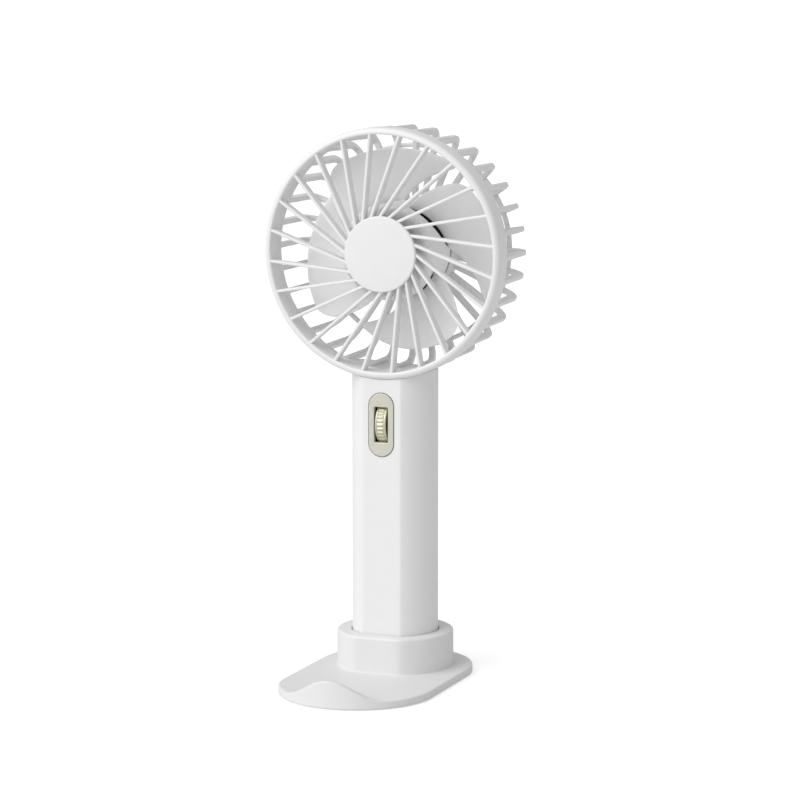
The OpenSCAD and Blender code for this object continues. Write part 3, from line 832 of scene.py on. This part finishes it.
def makeGrille():
    p = grillePlan
    outer, front, back = p["radius"], grilleLow.y, grilleHigh.y
    ringFront = front + p["ringSunk"]
    inner = outer - p["ringThick"]
    ring = rounded([(inner, back, p["backEdge"]), (inner, ringFront, p["innerEdge"]),
                    (outer, ringFront, p["outerEdge"]), (outer, back, p["backEdge"])], 7)
    shape = Shape().lathe(ring, True, 240)
    disc, boss = p["discRadius"], p["bossRadius"]
    discBack, bossBack = front + p["discThick"], front + p["bossDeep"]
    face = rounded([(0.02, front, 0), (disc, front, p["discEdge"]), (disc, discBack, 0.25),
                    (boss, discBack, 0.2), (boss, bossBack, 0.4), (0.02, bossBack, 0)], 6)
    shape.lathe(face, False, 144)

    # straight spokes that miss the middle by the same offset
    offset = p["offset"]
    reach = math.sqrt((inner + p["spokeInRing"]) ** 2 - offset ** 2)
    start = math.sqrt((disc - p["spokeUnderDisc"]) ** 2 - offset ** 2)
    lean = math.degrees(math.asin(offset / (outer - p["leanAt"])))
    half, halfBack = p["spokeWide"] / 2, p["spokeBackWide"] / 2
    near, far = p["spokeFront"], p["spokeFront"] + p["spokeDeep"]
    section = rounded([(-half, near, p["spokeEdge"]), (half, near, p["spokeEdge"]), (halfBack, far, 0.2),
                       (-halfBack, far, 0.2)], 4)
    for i in range(p["spokes"]):
        angle = p["turn"] + 360 * i / p["spokes"] + lean
        shape.loft([[clockPoint(angle, r, y, -offset + x) for x, y in section] for r in (start, reach)])
    piece = makeObject("front_grille_moulding", shape, "grille")
    addPiece(piece, "fan_body", "white_shell", "front_grille")


cagePlan = {
    "ribs": 32, "turn": 12.17, "thick": 1.95, "deep": 2.6, "outerEdge": 0.5, "innerEdge": 0.3,
    "rootRadius": 44.9, "rootY": -6.45, "tipRadius": 44.4, "back": 20.4, "bend": 6, "bendSteps": 10,
    "hoopRadius": 36.6, "hoopHalf": 0.8,
    "cupRadius": 17.6, "cupThick": 1.0, "cupFront": 11.4, "cupBack": 20.7,
    "floorHole": 3.1, "floorFront": 16.0, "floorBack": 17.6,
    "saddleIn": 43.2, "saddleOut": 45.0, "saddleGap": 0.3, "around": 160,
    "plugLow": 102.4, "plugWall": 1.5, "plugGap": 0.1,
}


def ribPath():
    # pairs of (radius, y) on the outer and inner side of a rib, from the ring round the bend to the cup
    p = cagePlan
    out = []
    bend, deep = p["bend"], p["deep"]
    tip, back = p["tipRadius"], p["back"]
    straightEnd, inBend = back - bend, bend - deep
    for t in (0, 0.03, 0.35, 0.7, 1):
        y = p["rootY"] + (straightEnd - p["rootY"]) * t
        radius = p["rootRadius"] + (tip - p["rootRadius"]) * t
        out.append(((radius, y), (radius - deep, y)))
    for i in range(1, p["bendSteps"] + 1):
        a = math.pi / 2 * i / p["bendSteps"]
        out.append(((tip - bend + bend * math.cos(a), straightEnd + bend * math.sin(a)),
                    (tip - bend + inBend * math.cos(a), straightEnd + inBend * math.sin(a))))
    for radius in (34, 27, p["cupRadius"] - 0.4):
        out.append(((radius, back), (radius, back - deep)))
    return out


def makeSaddle(shape):
    # curved floor of the cage over the handle, and the plug below it that goes into the handle
    p = cagePlan
    radius, flat = sleeveHigh.x, -sleeveLow.y
    front = grilleHigh.y + p["saddleGap"]
    angles = barAngles(p["around"], handlePlan["corner"])

    def plan(off, start):
        bar = faceted(angles, radius - off, flat - off, handlePlan["crisp"])
        return [(x, max(y, start)) for x, y in bar]

    def ring(off, cylinder):
        return [(x, y, headZ - math.sqrt(cylinder ** 2 - x * x)) for x, y in plan(off, front + off)]

    inside, outside = p["saddleIn"], p["saddleOut"]
    rings = [ring(0.3, outside), ring(0.08, outside - 0.08), ring(0, outside - 0.3),
             ring(0, inside + 0.4), ring(0.12, inside + 0.12), ring(0.4, inside)]
    middleY = (front + radius) / 2
    rim = plan(0.4, front + 0.4)
    for share in (0.75, 0.5, 0.25, 0.02):
        rings.append([(x * share, middleY + (y - middleY) * share,
                       headZ - math.sqrt(inside ** 2 - (x * share) ** 2)) for x, y in rim])
    shape.loft(rings)

    def plug(off, z):
        return [(x, y, z) for x, y in plan(off, front + 0.2)]

    outer = handlePlan["wall"] + p["plugGap"]
    inner = outer + p["plugWall"]
    top, low = headZ - outside + 0.6, p["plugLow"]
    shape.loft([plug(outer, top), plug(outer, low + 0.3), plug(outer + 0.3, low), plug(inner, low),
                plug(inner, top)])


def makeCage():
    p = cagePlan
    shape = Shape()
    half, deep = p["thick"] / 2, p["deep"]
    section = rounded([(-half, 0, p["outerEdge"]), (half, 0, p["outerEdge"]), (half, deep, p["innerEdge"]),
                       (-half, deep, p["innerEdge"])], 3)
    path = ribPath()
    for i in range(p["ribs"]):
        angle = p["turn"] + 360 * i / p["ribs"]
        rings = []
        for outer, inner in path:
            down = (Vector(inner) - Vector(outer)).normalized()
            rings.append([clockPoint(angle, outer[0] + down.x * v, outer[1] + down.y * v, u)
                          for u, v in section])
        shape.loft(rings)

    def band(outer, inner, y0, y1, edge, count=240):
        shape.lathe(rounded([(inner, y0, edge), (outer, y0, edge), (outer, y1, edge), (inner, y1, edge)], 4),
                    True, count)

    # two bands behind the front ring, the hoop, the motor cup and the cup's floor
    root, ringBack = p["rootRadius"], grilleHigh.y
    ringIn = grillePlan["radius"] - grillePlan["ringThick"]
    hoop, hoopHalf, cup = p["hoopRadius"], p["hoopHalf"], p["cupRadius"]
    band(root - 0.4, root - 2.2, ringBack + 0.2, ringBack + 2, 0.2)
    band(ringIn + 0.3, ringIn - 0.15, ringBack - 0.8, ringBack + 1.6, 0.1)
    band(hoop + hoopHalf, hoop - hoopHalf, p["back"] - 1.8, p["back"] + 0.2, 0.5)
    band(cup, cup - p["cupThick"], p["cupFront"], p["cupBack"], 0.3, 144)
    band(cup - 0.5, p["floorHole"], p["floorFront"], p["floorBack"], 0.1, 144)
    makeSaddle(shape)
    addPiece(makeObject("rear_cage_moulding", shape, "grille"), "fan_body", "white_shell", "rear_cage")


coverPlan = {"radius": 16.55, "edge": 0.4, "wall": 1, "thick": 1.1, "groove": 0.25, "grooves": (5.4, 13.2)}


def makeCover():
    # round lid over the motor, with two fine turned grooves
    p = coverPlan
    low, high = boxOf("motor_cover")
    radius, edge, groove, back = p["radius"], p["edge"], p["groove"], high.y
    outline = [(0.02, back)]
    for at in p["grooves"]:
        outline += [(at - groove, back), (at - groove * 0.6, back - groove * 0.7), (at, back - groove),
                    (at + groove * 0.6, back - groove * 0.7), (at + groove, back)]
    outline += [(radius - edge * toGo, back - edge * gone) for gone, toGo in quarter(5)]
    inside, under = radius - p["wall"], back - p["thick"]
    outline += [(radius, low.y), (inside, low.y), (inside, under), (0.02, under)]
    piece = makeObject("motor_cover_disc", Shape().lathe(outline, False), "shell")
    addPiece(piece, "fan_body", "white_shell", "motor_cover")


# The impeller: a cup over the motor with blades round it.

bladePlan = {
    "blades": 4, "hubRadius": 17.4, "hubBack": 9.9, "hubWall": 0.7, "hubEdge": 2.2, "hubFloor": -5.0,
    "boreRadius": 0.76, "bossRadius": 3.2, "bossDeep": 2.8,
    "tipRadius": 37.4, "tipTaper": 0.05, "tipThick": 0.85, "tipRound": 4.2, "tipEdge": 0.5,
    "leadAngle": 20.0, "leadSweep": 1.36, "trailAngle": 90.0, "trailSweep": 1.8,
    "leadY": -1.6, "trailY": 10.0, "trailRise": 0.2, "thick": 1.2, "camber": 0.5, "nosePower": 44,
    "rootSunk": 0.35, "rows": 26, "rowPower": 1.7, "columns": 34,
    "slotWide": 4.7, "slotGap": 0.15, "slotLow": 0.0, "slotHigh": 0.96, "slotPower": 0.5, "slotSteps": 32,
}


def bladeSpan(radius):
    # angles and places along the axis of the leading and the trailing edge at one radius
    p = bladePlan
    out = radius - p["hubRadius"]
    lead, trail = p["leadAngle"] + p["leadSweep"] * out, p["trailAngle"] + p["trailSweep"] * out
    over = radius - p["tipRadius"] + p["tipRound"]
    if over > 0:
        cut = p["tipRound"] - math.sqrt(max(0, p["tipRound"] ** 2 - over ** 2))
        lead, trail = lead + math.degrees(cut / radius), trail - math.degrees(cut / radius)
    return lead, trail, p["leadY"], p["trailY"] + p["trailRise"] * out


def bladeShape(shape, turn):
    p = bladePlan
    columns, rows, tip, root = p["columns"], p["rows"], p["tipRadius"], p["hubRadius"] - p["rootSunk"]
    shares = [(1 - math.cos(math.pi * j / columns)) / 2 for j in range(columns + 1)]
    radii = [root + (tip - root) * (1 - (1 - i / rows) ** p["rowPower"]) for i in range(rows + 1)]
    rings = []
    for radius in radii:
        lead, trail, leadY, trailY = bladeSpan(radius)
        part = (radius - root) / (tip - root)
        thick = p["thick"] + (p["tipThick"] - p["thick"]) * part
        inTip = (tip - radius) / p["tipEdge"]
        if inTip < 1:
            thick *= max(0.02, math.sqrt(1 - (1 - inTip) ** 2))

        def point(share, side):
            nose = math.sqrt(max(0, 1 - abs(2 * share - 1) ** p["nosePower"]))
            camber = p["camber"] * math.sin(math.pi * share)
            angle = turn + lead + (trail - lead) * share
            y = leadY + (trailY - leadY) * share - camber + side * thick / 2 * nose
            return clockPoint(angle, radius * (1 - p["tipTaper"] * share * part), y)

        rings.append([point(s, -1) for s in shares] + [point(s, 1) for s in shares[-2:0:-1]])
    shape.loft(rings)


def crescent(turn):
    # slim slot through the hub's wall in front of a blade's root
    p = bladePlan
    lead, trail, leadY, trailY = bladeSpan(p["hubRadius"])
    inside, outside = p["hubRadius"] - p["hubWall"] - 0.4, p["hubRadius"] + 0.6
    rings = []
    for i in range(p["slotSteps"] + 1):
        t = i / p["slotSteps"]
        share = p["slotLow"] + (p["slotHigh"] - p["slotLow"]) * t
        angle = turn + lead + (trail - lead) * share
        y = leadY + (trailY - leadY) * share - p["camber"] * math.sin(math.pi * share) + 0.1
        wide = p["thick"] / 2 + p["slotGap"] + p["slotWide"] * math.sin(math.pi * t) ** p["slotPower"]
        corners = ((inside, y), (outside, y), (outside, y - wide), (inside, y - wide))
        rings.append([clockPoint(angle, r, v) for r, v in corners])
    return Shape().loft(rings)


def makeImpeller():
    p = bladePlan
    front, back, floor = boxOf("impeller")[0].y, p["hubBack"], p["hubFloor"]
    radius, bore, boss, bossBack = p["hubRadius"], p["boreRadius"], p["bossRadius"], floor - p["bossDeep"]
    inside = radius - p["hubWall"]
    outline = rounded([(bore, front, 0), (radius, front, p["hubEdge"]), (radius, back, 0.2),
                       (inside, back, 0.2), (inside, floor, 0.3), (boss, floor, 0),
                       (boss, bossBack, 0), (bore, bossBack, 0)], 8)
    hub = makeObject("impeller_moulding", Shape().lathe(outline, True, 240), "blade")
    turns = [360 * i / p["blades"] for i in range(p["blades"])]
    cutBy(hub, [crescent(turn) for turn in turns], 35)
    blades = Shape()
    for turn in turns:
        bladeShape(blades, turn)
    joinInto(hub, makeObject("blades", blades, "blade", 50))
    addPiece(hub, "rotor", "impeller_white", "impeller")


makeGrille()
makeCage()
makeCover()
makeImpeller()

# The other pieces keep their shape and get a finish.

kept = {
    "stand_weight_plate": "weight", "stand_foot_pad": "rubber", "handle_end_cap": "shell",
    "inner_frame": "frame", "battery_cell": "wrap", "battery_tabs": "strip", "battery_leads": "lead",
    "control_board": "board", "status_lamp": "lens", "wheel_bracket": "black", "wheel_axle": "pin",
    "dial_sensor": "blue", "motor_screws": "screw", "motor_base": "flange", "motor_bushes": "bush",
    "motor_stator": "copper", "motor_board": "board", "motor_leads": "lead", "motor_shaft": "pin",
    "rotor_can": "canBlack", "rotor_magnet": "magnet", "shaft_clip": "black",
}
for node, finish in kept.items():
    mesh = nodes[node].data
    mesh.materials.clear()
    mesh.materials.append(finishes[finish])
print("finishes are on")
